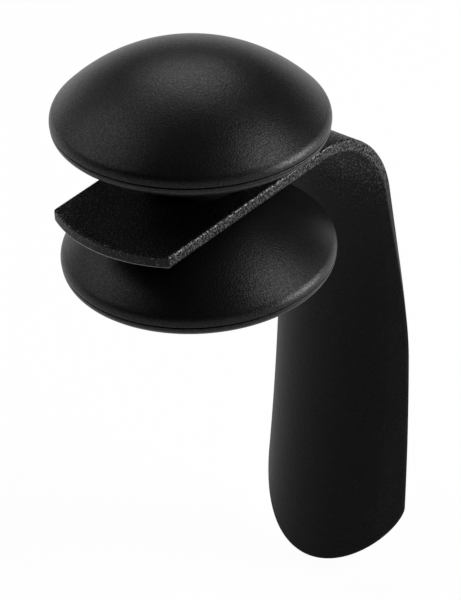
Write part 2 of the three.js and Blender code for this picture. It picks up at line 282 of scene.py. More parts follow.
class Finish:
    """A material and the nodes it is made of, named apart from the frame's plain one."""

    def __init__(self, slot):
        self.material = bpy.data.materials.new(f"{slot}_look")
        self.material.use_nodes = True
        self.tree = self.material.node_tree
        self.tree.nodes.clear()

    def node(self, kind, settings=None, sockets=None, output=0):
        """A node with its settings first, then the values or wires of its sockets."""
        made = self.tree.nodes.new(kind)
        for key, value in (settings or {}).items():
            setattr(made, key, value)
        for key, value in (sockets or {}).items():
            if isinstance(value, Wire):
                self.tree.links.new(value.socket, made.inputs[key])
            else:
                made.inputs[key].default_value = value
        return Wire(self, made.outputs[output]) if made.outputs else made

    def place(self):
        """Object coordinates, in metres."""
        return self.node("ShaderNodeTexCoord", output="Object")

    def noise(self, place, size_of_grain, detail=2.0, roughness=0.5):
        """Noise whose grains are about that large, in millimetres."""
        return self.node("ShaderNodeTexNoise", {}, {
            "Vector": place, "Scale": 1 / (size_of_grain * MM),
            "Detail": detail, "Roughness": roughness})

    def bump(self, height, depth=1.0):
        """A Bump node whose heights of 0 to 1 are that deep, in millimetres."""
        return self.node("ShaderNodeBump", {}, {"Height": height, "Distance": depth * MM})

    def seen(self):
        """1 for rays from the camera and in gloss or glass, 0 for other light."""
        camera, glossy, glass = (
            self.node("ShaderNodeLightPath", output=f"Is {kind} Ray")
            for kind in ("Camera", "Glossy", "Transmission"))
        return camera.maths("MAXIMUM", camera, glossy.maths("MAXIMUM", glossy, glass))

    def mix(self, factor, first, second):
        """A colour between two colours, by the numbers of the node's colour sockets."""
        return self.node(
            "ShaderNodeMix", {"data_type": "RGBA"},
            {0: factor, 6: first, 7: second}, output=2)

    def clouded(self, cloud, values):
        """A colour that is a little darker and lighter in clouds."""
        dark, pale = (rgba(values, shade) for shade in CLOUD_SHADES)
        return self.mix(cloud.ramp(*CLOUD_EDGES), dark, pale)

    def shader(self, sockets):
        """The Principled shader, joined to the material's output."""
        surface = self.node("ShaderNodeBsdfPrincipled", {}, sockets)
        self.node("ShaderNodeOutputMaterial", {}, {"Surface": surface})
        return self.material


def rgba(values, scale=1.0):
    """Four numbers from a colour property."""
    return (*(value * scale for value in values), 1.0)


# Clouds: where the noise turns from dark to pale, and the shades of the colour there
CLOUD_EDGES = (0.3, 0.7)
CLOUD_SHADES = (0.85, 1.15)

# Pods: sizes and depth in millimetres
POD_GRAIN, POD_GRAIN_DEPTH = 0.36, 0.07
POD_SPECK, POD_SPECK_EDGES, POD_SPECK_GLOSS = 0.34, (0.5, 0.62), 0.2
POD_CLOUD, POD_SATIN_FALL, POD_SATIN_RISE = 9, 0.03, 0.06

# Bracket: sizes of its grains in millimetres, and their depths likewise
COARSE_GRAIN, COARSE_DEPTH = 0.5, 0.08
FINE_GRAIN, FINE_DEPTH, FINE_BEND_DEPTH = 0.36, 0.1, 0.1
BRACKET_SPECK, BRACKET_SPECK_EDGES = 0.42, (0.58, 0.64)
BRACKET_CLOUD, BRACKET_SATIN_RISE = 12, 0.05
SIDE_SPECKS, END_SPECKS = 0.08, 0.04        # more of them on the sides, fewer on the end
TONGUE_GLOSS, END_GLOSS = 0.08, 0.12        # of the specks, and all over the end
END_SMOOTHING = 0.6                         # share of the grain that the end lacks

# Bracket: heights between which the grain grows, from the tongue up to the arm
COARSE_HEIGHTS = (-26 * MM, -4 * MM)
FINE_HEIGHTS = (-60 * MM, -10 * MM)

# Bracket: the smooth end of the arm and the painted highlight along its lower edge
END_INSET, END_BLEND, END_REACH = 0.4 * MM, 0.2 * MM, 5 * MM
SIDE_INSETS = (0.6 * MM, 0.2 * MM)
# The line is a painted highlight, pale where the light catches the edge and fading across it
LINE_LOW, LINE_HIGH = (0.15 * MM, 0.22 * MM), (0.42 * MM, 0.5 * MM)
LINE_FAINTEST = 0.3                         # at the left side, of its strength at the right
LINE_FULL_SHARE = 1 / 3                     # of half the width, from where it is full

# Steel: sizes and depths in millimetres
ZINC_CLOUD, ZINC_SHADES, ZINC_SATIN = 1.4, (0.86, 1.08), (0.24, 0.14)
ZINC_GRAIN, ZINC_GRAIN_DEPTH = 0.15, 0.006
SCUFF, SCUFF_SHADES, SCUFF_SATIN = 0.7, (0.9, 1.06), (0.14, 0.16)
SCUFF_DEPTH, SCUFF_DETAIL, SCUFF_HARSHNESS = 0.004, 5, 0.7


def pod_plastic(looks):
    """Satin black plastic with a fine, even grain that sparkles in a highlight."""
    finish = Finish("pod_plastic")
    place = finish.place()
    grain = finish.noise(place, POD_GRAIN, detail=1)
    specks = finish.noise(place, POD_SPECK, detail=0).ramp(*POD_SPECK_EDGES)
    cloud = finish.noise(place, POD_CLOUD)
    return finish.shader({
        "Base Color": finish.clouded(cloud, looks.pod_colour),
        "Roughness": looks.pod_roughness - POD_SATIN_FALL + POD_SATIN_RISE * cloud,
        "IOR": looks.pod_ior,
        "Coat Weight": specks * POD_SPECK_GLOSS, "Coat Roughness": looks.pod_roughness,
        "Normal": finish.bump(grain, POD_GRAIN_DEPTH)})


def arm_end(x, y, z, sizes):
    """1 on the smooth round end of the arm, below its upper edge, and 0 elsewhere."""
    ahead = x - POD_AXIS_X
    reach = (ahead * ahead + y * y) ** 0.5
    inner = sizes.end_radius - END_INSET
    on_round = reach.ramp(inner, inner + END_BLEND) * (POD_AXIS_X - x).ramp(0, END_REACH)
    at_edge = z.ramp(ARM_TOP - sizes.edge_round, ARM_TOP - sizes.edge_round / 2)
    return on_round * (1 - at_edge)


def painted_parting_highlight(y, z, half):
    """A painted highlight along the lower edge of the arm's end, faintest at the left, fading
    as the light falls along it.
    """
    above = z - ARM_BOTTOM
    strength = LINE_FAINTEST + (1 - LINE_FAINTEST) * y.ramp(-half, half * LINE_FULL_SHARE)
    return strength * (above.ramp(*LINE_LOW) - above.ramp(*LINE_HIGH))


def bracket_plastic(looks):
    """Black plastic: a coarse, sparkling arm with a smooth end that has a painted highlight
    along its lower edge, and a satin tongue.
    """
    finish = Finish("bracket_plastic")
    sizes = bpy.context.scene.heel_shaker.bracket
    place = finish.place()
    x, y, z = (
        finish.node("ShaderNodeSeparateXYZ", {}, {"Vector": place}, output=axis)
        for axis in "XYZ")
    half = sizes.arm_width / 2
    on_arm, at_bend = z.ramp(*COARSE_HEIGHTS), z.ramp(*FINE_HEIGHTS)
    at_end = arm_end(x, y, z, sizes)
    at_side = y.maths("ABSOLUTE", y).ramp(*(half - inset for inset in SIDE_INSETS))
    coarse = finish.noise(place, COARSE_GRAIN, detail=1)
    fine = finish.noise(place, FINE_GRAIN, detail=1)
    grain = coarse * on_arm * COARSE_DEPTH + fine * (FINE_DEPTH + FINE_BEND_DEPTH * at_bend)
    tips = finish.noise(place, BRACKET_SPECK, detail=1)
    tips = tips + SIDE_SPECKS * at_side - END_SPECKS * at_end
    specks = tips.ramp(*BRACKET_SPECK_EDGES)
    cloud = finish.noise(place, BRACKET_CLOUD)
    # The tone mixes the painted highlight into the black along the lower edge of the arm's
    # end
    tone = finish.mix(
        at_end * painted_parting_highlight(y, z, half), finish.clouded(cloud, looks.bracket_colour),
        rgba(looks.parting_highlight_colour))
    gloss = specks * (TONGUE_GLOSS + (1 - TONGUE_GLOSS) * on_arm) + END_GLOSS * at_end
    return finish.shader({
        "Base Color": tone,
        "Roughness": looks.bracket_roughness + BRACKET_SATIN_RISE * cloud,
        "IOR": looks.bracket_ior,
        "Coat Weight": gloss, "Coat Roughness": looks.bracket_roughness,
        "Normal": finish.bump(grain * (1 - END_SMOOTHING * at_end))})


def steel(finish, noise, values, shades, satin, normal):
    """Bare metal whose colour and roughness follow one noise."""
    dark, pale = (rgba(values, shade) for shade in shades)
    least, spread = satin
    return finish.shader({
        "Base Color": finish.mix(noise, dark, pale), "Metallic": 1.0,
        "Roughness": least + spread * noise, "Normal": normal})


def zinc_steel(looks):
    """Zinc-plated steel, faintly clouded."""
    finish = Finish("zinc_steel")
    place = finish.place()
    cloud = finish.noise(place, ZINC_CLOUD, detail=4)
    grain = finish.bump(finish.noise(place, ZINC_GRAIN), ZINC_GRAIN_DEPTH)
    return steel(finish, cloud, looks.zinc_colour, ZINC_SHADES, ZINC_SATIN, grain)


def steel_shot(looks):
    """Polished steel balls, scuffed by rolling."""
    finish = Finish("steel_shot")
    scuffs = finish.noise(finish.place(), SCUFF, SCUFF_DETAIL, SCUFF_HARSHNESS)
    grain = finish.bump(scuffs, SCUFF_DEPTH)
    return steel(finish, scuffs, looks.shot_colour, SCUFF_SHADES, SCUFF_SATIN, grain)


MAKERS = {
    "pod_plastic": pod_plastic,
    "bracket_plastic": bracket_plastic,
    "zinc_steel": zinc_steel,
    "steel_shot": steel_shot,
}


def finished(slot):
    """The look of a slot, made the first time it is asked for."""
    found = bpy.data.materials.get(f"{slot}_look")
    return found or MAKERS[slot](bpy.context.scene.heel_shaker.finishes)


# Shapes


# Faces that meet at more than this angle keep a sharp edge between them
SHELL_EDGE, PLATE_EDGE, FASTENER_EDGE = (math.radians(angle) for angle in (40, 50, 32))


def placed(bm, name, material):
    """Makes the mesh a smooth object of the scene."""
    for face in bm.faces:
        face.smooth = True
    mesh = bpy.data.meshes.new(name)
    bm.to_mesh(mesh)
    bm.free()
    mesh.materials.append(material)
    made = bpy.data.objects.new(name, mesh)
    bpy.context.scene.collection.objects.link(made)
    return made


def settle(bm, name, slot, body, node):
    """Makes the mesh a piece of the part: it stands for a CAD node and rides on a body."""
    bmesh.ops.recalc_face_normals(bm, faces=bm.faces[:])
    piece = placed(bm, name, finished(slot))
    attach(piece, body)
    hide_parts(node)
    return piece


def crisp(piece, angle):
    """Keeps flat faces flat up to the small rounds beside them."""
    piece.data.set_sharp_from_angle(angle=angle)
    weighted = piece.modifiers.new("flat_faces", "WEIGHTED_NORMAL")
    weighted.keep_sharp = True


class Profile:
    """An open outline in the XZ plane, drawn point by point, then turned about Z."""

    CORNER_STEPS = 3

    def __init__(self, r, z):
        self.bm = bmesh.new()
        self.last = self.bm.verts.new((r, 0, z))
        self.rounded = []

    def line(self, r, z, rounded=0.0):
        """A straight run to a point, whose corner may be rounded."""
        made = bmesh.ops.extrude_vert_indiv(self.bm, verts=[self.last])
        self.last = made["verts"][0]
        self.last.co = Vector((r, 0, z))
        if rounded:
            self.rounded.append((self.last, rounded))
        return self

    def arc(self, r, z, angle, steps):
        """A turn of the last point about a centre, clockwise for a positive angle."""
        made = bmesh.ops.spin(
            self.bm, geom=[self.last], cent=(r, 0, z), axis=(0, 1, 0),
            angle=angle, steps=steps, use_duplicate=False)
        self.last = next(g for g in made["geom_last"] if isinstance(g, bmesh.types.BMVert))
        return self

    def close(self):
        """Joins the last point to the first."""
        ends = [v for v in self.bm.verts if len(v.link_edges) == 1]
        self.bm.edges.new(ends)
        return self

    def soften(self):
        """Rounds the corners that asked for it."""
        for vert, radius in self.rounded:
            bmesh.ops.bevel(
                self.bm, geom=[vert], offset=radius, offset_type="OFFSET",
                segments=self.CORNER_STEPS, profile=0.5, affect="VERTICES", material=-1)
        self.rounded = []
        return self

    def turned(self, steps):
        """The outline turned once round Z, poles merged."""
        bmesh.ops.spin(
            self.bm, geom=self.bm.verts[:] + self.bm.edges[:], cent=(0, 0, 0),
            axis=(0, 0, 1), angle=2 * HALF_TURN, steps=steps, use_merge=True,
            use_duplicate=False)
        bmesh.ops.remove_doubles(self.bm, verts=self.bm.verts[:], dist=SAME_PLACE)
        return self.bm


def loop_near(bm, radius, z):
    """The open edges that lie on a circle about Z at that height."""
    close = 2 * LEVEL

    def on_it(vert):
        return abs(vert.co.z - z) < close and abs(vert.co.xy.length - radius) < close

    return [e for e in bm.edges if e.is_boundary and all(on_it(v) for v in e.verts)]


def circle(bm, radius, z, steps):
    """A ring of edges about Z, with that many points."""
    made = bmesh.ops.create_circle(
        bm, segments=steps, radius=radius, matrix=Matrix.Translation((0, 0, z)))
    return list({e for v in made["verts"] for e in v.link_edges})


def hexagon(bm, radius, z, steps):
    """A ring of six straight sides with that many points in all."""
    ring = circle(bm, radius, z, 6)
    bmesh.ops.subdivide_edges(bm, edges=ring, cuts=steps // 6 - 1)
    verts = [v for v in bm.verts if v.is_wire and abs(v.co.z - z) < LEVEL]
    return list({e for v in verts for e in v.link_edges})


def lifted(bm, ring, distance):
    """Extrudes a ring of edges along Z and returns the new ring."""
    made = bmesh.ops.extrude_edge_only(bm, edges=ring)
    verts = [g for g in made["geom"] if isinstance(g, bmesh.types.BMVert)]
    bmesh.ops.translate(bm, vec=(0, 0, distance), verts=verts)
    moved = set(verts)
    return [g for g in made["geom"]
            if isinstance(g, bmesh.types.BMEdge) and moved.issuperset(g.verts)]


def bridge(bm, first, second):
    """Faces between two rings with the same number of points."""
    bmesh.ops.bridge_loops(bm, edges=first + second)


def lens_rise(rim, dome, shoulder):
    """Height of a shallow dome that turns through a shoulder to an upright rim."""
    return dome - math.sqrt((dome - shoulder) ** 2 - (rim - shoulder) ** 2)


def dome_turn(rim, dome, shoulder):
    """Angle from the axis at which the dome meets its shoulder."""
    return math.asin((rim - shoulder) / (dome - shoulder))


class Pod:
    """Heights and radii that both shells of a pod share, from the seam."""

    DOME_STEPS = 30
    SHOULDER_STEPS = 10

    def __init__(self, pods, clamp):
        self.pods, self.clamp = pods, clamp
        self.lip = pods.radius - pods.lip_setback
        self.skirt_inner = pods.radius - pods.skirt_wall
        self.spigot_outer = self.skirt_inner - pods.fit_gap
        self.spigot_inner = self.spigot_outer - pods.spigot_wall
        self.inner_dome = pods.dome_radius - pods.wall
        self.inner_pan = pods.pan_radius - pods.wall
        self.crown = pods.groove + pods.top_skirt + lens_rise(
            pods.radius, pods.dome_radius, pods.top_shoulder)
        self.depth = pods.lip_height + lens_rise(
            self.lip, pods.pan_radius, pods.base_shoulder)
        self.rebate = self.crown - pods.wall - lens_rise(
            self.spigot_inner, self.inner_dome, pods.inner_shoulder)
        self.spigot_top = self.rebate - pods.fit_gap
        self.bore = clamp.bolt_radius + clamp.bore_clearance
        self.upper_standoff = pods.upper_neck + self.depth
        self.lower_standoff = pods.lower_neck + self.crown
        self.head_seat = pods.wall + pods.boss_rise - self.depth

    def top(self, hub):
        """Top shell. With a hub it has a neck above and a nut pocket in its boss."""
        pods, clamp = self.pods, self.clamp
        start = math.asin(pods.neck_radius / pods.dome_radius) if hub else 0.0
        end = dome_turn(pods.radius, pods.dome_radius, pods.top_shoulder)
        inner_end = dome_turn(self.spigot_inner, self.inner_dome, pods.inner_shoulder)
        inner_start = math.asin(pods.boss_radius / self.inner_dome) if hub else 0.0
        centre = self.crown - pods.dome_radius
        first = (pods.dome_radius * math.sin(start),
                 centre + pods.dome_radius * math.cos(start))
        if hub:
            line = Profile(self.bore, self.lower_standoff - clamp.nut_seat)
            line.line(self.bore, self.lower_standoff)
            line.line(pods.neck_radius, self.lower_standoff, pods.edge_round)
            line.line(*first, pods.neck_fillet)
        else:
            line = Profile(*first)
        line.arc(0, centre, end - start, self.DOME_STEPS)
        line.arc(pods.radius - pods.top_shoulder, pods.groove + pods.top_skirt,
                 QUARTER_TURN - end, self.SHOULDER_STEPS)
        line.line(pods.radius, pods.groove, pods.edge_round)
        line.line(self.skirt_inner, pods.groove, pods.edge_round)
        line.line(self.skirt_inner, self.rebate)
        line.line(self.spigot_inner, self.rebate)
        line.arc(self.spigot_inner - pods.inner_shoulder, self.rebate,
                 inner_end - QUARTER_TURN, self.SHOULDER_STEPS)
        line.arc(0, centre, inner_start - inner_end, self.DOME_STEPS)
        if not hub:
            return line.soften().turned(pods.turn_steps)
        seat = self.lower_standoff - clamp.nut_seat
        boss_end = seat - clamp.nut_height - clamp.nut_recess
        line.line(pods.boss_radius, boss_end)
        bm = line.soften().turned(pods.turn_steps)
        pocket = hexagon(bm, clamp.nut_radius + pods.fit_gap, boss_end, pods.turn_steps)
        bridge(bm, loop_near(bm, pods.boss_radius, boss_end), pocket)
        floor = lifted(bm, pocket, seat - boss_end)
        bridge(bm, floor, loop_near(bm, self.bore, seat))
        return bm

    def base(self, hub):
        """Base shell. With a hub it has a neck below and a boss for the bolt's head."""
        pods = self.pods
        start = math.asin(pods.neck_radius / pods.pan_radius) if hub else 0.0
        end = dome_turn(self.lip, pods.pan_radius, pods.base_shoulder)
        inner_end = dome_turn(self.spigot_inner, self.inner_pan, pods.inner_shoulder)
        inner_start = math.asin(pods.boss_radius / self.inner_pan) if hub else 0.0
        centre = pods.pan_radius - self.depth
        inner_shoulder = pods.wall - self.depth + lens_rise(
            self.spigot_inner, self.inner_pan, pods.inner_shoulder)
        first = (pods.pan_radius * math.sin(start),
                 centre - pods.pan_radius * math.cos(start))
        if hub:
            line = Profile(self.bore, -self.upper_standoff)
            line.line(pods.neck_radius, -self.upper_standoff, pods.edge_round)
            line.line(*first, pods.neck_fillet)
        else:
            line = Profile(*first)
        line.arc(0, centre, start - end, self.DOME_STEPS)
        line.arc(self.lip - pods.base_shoulder, -pods.lip_height,
                 end - QUARTER_TURN, self.SHOULDER_STEPS)
        line.line(self.lip, 0, pods.edge_round)
        line.line(self.spigot_outer, 0)
        line.line(self.spigot_outer, self.spigot_top, pods.edge_round)
        line.line(self.spigot_inner, self.spigot_top, pods.edge_round)
        line.line(self.spigot_inner, inner_shoulder)
        line.arc(self.spigot_inner - pods.inner_shoulder, inner_shoulder,
                 QUARTER_TURN - inner_end, self.SHOULDER_STEPS)
        line.arc(0, centre, inner_end - inner_start, self.DOME_STEPS)
        if hub:
            line.line(pods.boss_radius, self.head_seat, pods.edge_round)
            line.line(self.bore, self.head_seat)
            line.close()
        return line.soften().turned(pods.turn_steps)

    def leaned(self, bm):
        """Leans a shell of the upper pod about its seam; the hub's two seats stay square."""
        pods = self.pods
        turn = Matrix.Rotation(pods.lean, 3, "Y")
        pan_foot = self.foot(pods.neck_radius, pods.pan_radius)
        boss_foot = self.foot(pods.boss_radius, self.inner_pan)
        on_boss = pods.boss_radius + pods.edge_round
        for vert in bm.verts:
            radius = vert.co.xy.length
            if vert.co.z < pan_foot:
                held = (pan_foot - vert.co.z) / (pan_foot + self.upper_standoff)
            elif vert.co.z > boss_foot and radius < on_boss and vert.co.z < 0:
                held = (vert.co.z - boss_foot) / (self.head_seat - boss_foot)
            else:
                held = 0.0
            if radius < self.bore + pods.edge_round and vert.co.z < 0:
                held = 1.0
            vert.co = (turn @ vert.co).lerp(vert.co, held)
        return bm

    def foot(self, radius, sphere):
        """Height at which a round wall stands on the pan's outer or inner sphere."""
        return self.pods.pan_radius - self.depth - math.sqrt(sphere ** 2 - radius ** 2)


def set_down(bm, z):
    """Moves a turned piece to the pod axis at a height."""
    bmesh.ops.translate(bm, vec=(POD_AXIS_X, 0, z), verts=bm.verts[:])
    return bm


class HEELSHAKER_OT_pods(bpy.types.Operator):
    """Builds the top and base shells of both pods"""

    bl_idname = "heel_shaker.pods"
    bl_label = "Pod Shells"

    def execute(self, context):
        settings = context.scene.heel_shaker
        pod = Pod(settings.pods, settings.clamp)
        upper = ARM_TOP + pod.upper_standoff
        lower = ARM_BOTTOM - pod.lower_standoff
        shells = (
            ("upper_dome", "upper_top_shell", pod.leaned(pod.top(hub=False)), upper),
            ("upper_pan", "upper_base_shell", pod.leaned(pod.base(hub=True)), upper),
            ("lower_dome", "lower_top_shell", pod.top(hub=True), lower),
            ("lower_pan", "lower_base_shell", pod.base(hub=False), lower),
        )
        for name, node, bm, seam in shells:
            piece = settle(set_down(bm, seam), name, "pod_plastic", ROOT, node)
            crisp(piece, SHELL_EDGE)
        return {"FINISHED"}


class Form:
    """The press that the flat blank of the bracket is formed on."""

    FLATTEST = 1e-6          # curvature across the plate, under which it counts as flat

    def __init__(self, sizes):
        self.s = sizes
        self.bend_length = sizes.bend_radius * (QUARTER_TURN + sizes.lean)
        self.start = QUARTER_TURN + sizes.lean
        self.end_x = sizes.bend_start + sizes.bend_radius * math.cos(sizes.lean)
        self.end_z = (sizes.arm_thickness - sizes.bend_radius
                      - sizes.bend_radius * math.sin(sizes.lean))
        drop = sizes.tongue_drop + self.end_z
        turned = math.acos(math.cos(self.start) - drop / sizes.bow_radius)
        self.length = self.bend_length + sizes.bow_radius * (turned - self.start)
        self.widest = self.bend_length + sizes.widest_drop + self.end_z
        self.tip = self.length - sizes.tip_length

    def path(self, distance):
        """Place and heading of the foot-side face at a distance from the bend."""
        s = self.s
        if distance <= 0:
            return s.bend_start + distance, s.arm_thickness, 0.0
        if distance <= self.bend_length:
            heading = distance / s.bend_radius
            return (s.bend_start + s.bend_radius * math.sin(heading),
                    s.arm_thickness - s.bend_radius * (1 - math.cos(heading)), heading)
        heading = self.start + (distance - self.bend_length) / s.bow_radius
        return (self.end_x + s.bow_radius * (math.sin(heading) - math.sin(self.start)),
                self.end_z - s.bow_radius * (math.cos(self.start) - math.cos(heading)),
                heading)

    def half_width(self, distance):
        """Half the width of the plate, without the rounded end of the arm."""
        s = self.s
        grown = ease(s.trough_start, self.widest, distance)
        full = s.arm_width / 2 + (s.tongue_width - s.arm_width) / 2 * grown
        into_tip = min(max((distance - self.tip) / s.tip_length, 0), 1)
        return full * math.sqrt(1 - into_tip ** s.tip_fullness)

    def pressed(self, distance, across, depth):
        """Where a point of the blank goes, depth measured from the foot-side face."""
        s = self.s
        x, z, heading = self.path(distance)
        curve = ease(s.trough_start, s.trough_full, distance) / s.trough_radius
        thinned = ease(0, s.trough_full, distance)
        thickness = s.arm_thickness + (s.tongue_thickness - s.arm_thickness) * thinned
        depth *= thickness / s.arm_thickness
        turn = math.asin(curve * across)
        width = across + depth * math.sin(turn)
        rise = (1 - math.cos(turn)) / curve if curve > self.FLATTEST else 0.0
        out = rise - depth * math.cos(turn)
        return Vector((x + out * math.sin(heading), width, z + out * math.cos(heading)))


def ease(start, end, x):
    """0 before start, 1 after end, smooth between."""
    t = min(max((x - start) / (end - start), 0), 1)
    return t * t * (3 - 2 * t)


# Points along the arm's end, its corner, the long side and the tip
END_STEPS, CORNER_STEPS, SIDE_STEPS, TIP_STEPS = 24, 8, 90, 40
BORE_STEPS = 48
RIM_STEPS = 4
FLAT = math.radians(1)       # faces within this angle are one
STEEP = math.radians(60)     # edges sharper than this are the rims of the plate


def blank_side(form):
    """Points along one side of the flat blank, from the arm's end to the tip."""
    s = form.s
    axis = POD_AXIS_X - s.bend_start
    reach = s.end_radius - s.end_corner
    spread = math.asin((s.arm_width / 2 - s.end_corner) / reach)
    corner = Vector((axis - reach * math.cos(spread), s.arm_width / 2 - s.end_corner))
    side = []
    for i in range(1, END_STEPS + 1):
        angle = spread * i / END_STEPS
        side.append((axis - s.end_radius * math.cos(angle), s.end_radius * math.sin(angle)))
    for i in range(1, CORNER_STEPS + 1):
        angle = (QUARTER_TURN - spread) * (1 - i / CORNER_STEPS)
        side.append((corner.x - s.end_corner * math.sin(angle),
                     corner.y + s.end_corner * math.cos(angle)))
    for i in range(SIDE_STEPS + 1):
        distance = form.tip * i / SIDE_STEPS
        side.append((distance, form.half_width(distance)))
    for i in range(1, TIP_STEPS):
        distance = form.tip + s.tip_length * math.sin(QUARTER_TURN * i / TIP_STEPS)
        side.append((distance, form.half_width(distance)))
    return side


def bracket_blank(form, bore):
    """The flat plate with its bore, cut into small cells ready for the press."""
    s = form.s
    bm = bmesh.new()
    side = blank_side(form)
    axis = POD_AXIS_X - s.bend_start
    ring = [(axis - s.end_radius, 0), *side, (form.length, 0)]
    ring += [(x, -y) for x, y in reversed(side)]
    verts = [bm.verts.new((x, y, 0)) for x, y in ring]
    for first, second in zip(verts, verts[1:] + verts[:1]):
        bm.edges.new((first, second))
    bmesh.ops.create_circle(
        bm, segments=BORE_STEPS, radius=bore, matrix=Matrix.Translation((axis, 0, 0)))
    bmesh.ops.triangle_fill(bm, use_beauty=True, edges=bm.edges[:])
    bmesh.ops.dissolve_limit(
        bm, angle_limit=FLAT, verts=bm.verts[:],
        edges=[e for e in bm.edges if not e.is_boundary])
    bmesh.ops.recalc_face_normals(bm, faces=bm.faces[:])
    made = bmesh.ops.extrude_face_region(bm, geom=bm.faces[:])
    upper = [g for g in made["geom"] if isinstance(g, bmesh.types.BMVert)]
    bmesh.ops.translate(bm, vec=(0, 0, s.arm_thickness), verts=upper)
    bmesh.ops.recalc_face_normals(bm, faces=bm.faces[:])
    rims = [e for e in bm.edges if e.calc_face_angle(0) > STEEP
            and abs(e.verts[0].co.z - e.verts[1].co.z) < LEVEL
            and (e.verts[0].co.xy - Vector((axis, 0))).length > 2 * bore]
    bmesh.ops.bevel(
        bm, geom=rims, offset=s.edge_round, offset_type="OFFSET", segments=RIM_STEPS,
        profile=0.5, affect="EDGES", clamp_overlap=False, material=-1)
    cut_across(bm, form)
    return bm


def cut_across(bm, form):
    """Cuts the blank along and across, finely where the press will bend it."""
    cell = form.s.cell
    along = round(form.length / cell)
    places = [form.length * i / along for i in range(along)]
    places += [(i + 0.5) * cell / 2 for i in range(round(form.bend_length / cell * 2))]
    for place in places:
        slice_at(bm, Vector((place, 0, 0)), Vector((1, 0, 0)))
    half = round(form.s.tongue_width / 2 / cell)
    for i in range(-half, half + 1):
        slice_at(bm, Vector((0, i * cell, 0)), Vector((0, 1, 0)))


def slice_at(bm, point, normal):
    """One straight cut through everything."""
    bmesh.ops.bisect_plane(
        bm, geom=bm.verts[:] + bm.edges[:] + bm.faces[:], dist=2 * SAME_PLACE,
        plane_co=point, plane_no=normal)


class HEELSHAKER_OT_bracket(bpy.types.Operator):
    """Presses the bracket from its flat blank: arm, bend and hollow tongue"""

    bl_idname = "heel_shaker.bracket"
    bl_label = "Heel Bracket"

    def execute(self, context):
        settings = context.scene.heel_shaker
        form = Form(settings.bracket)
        clamp = settings.clamp
        bm = bracket_blank(form, clamp.bolt_radius + clamp.bore_clearance)
        for vert in bm.verts:
            vert.co = form.pressed(*vert.co)
        bm.normal_update()               # the press turns the plate over
        piece = settle(bm, "bracket", "bracket_plastic", ROOT, "heel_bracket")
        crisp(piece, PLATE_EDGE)
        return {"FINISHED"}


def nut_ring(bm, radius, flat_radius, z, steps, slope):
    """A hexagon whose corners fall away from a chamfer circle."""
    ring = hexagon(bm, radius, z, steps)
    for vert in {v for e in ring for v in e.verts}:
        beyond = max(vert.co.xy.length - flat_radius, 0)
        vert.co.z += slope * beyond
    return ring


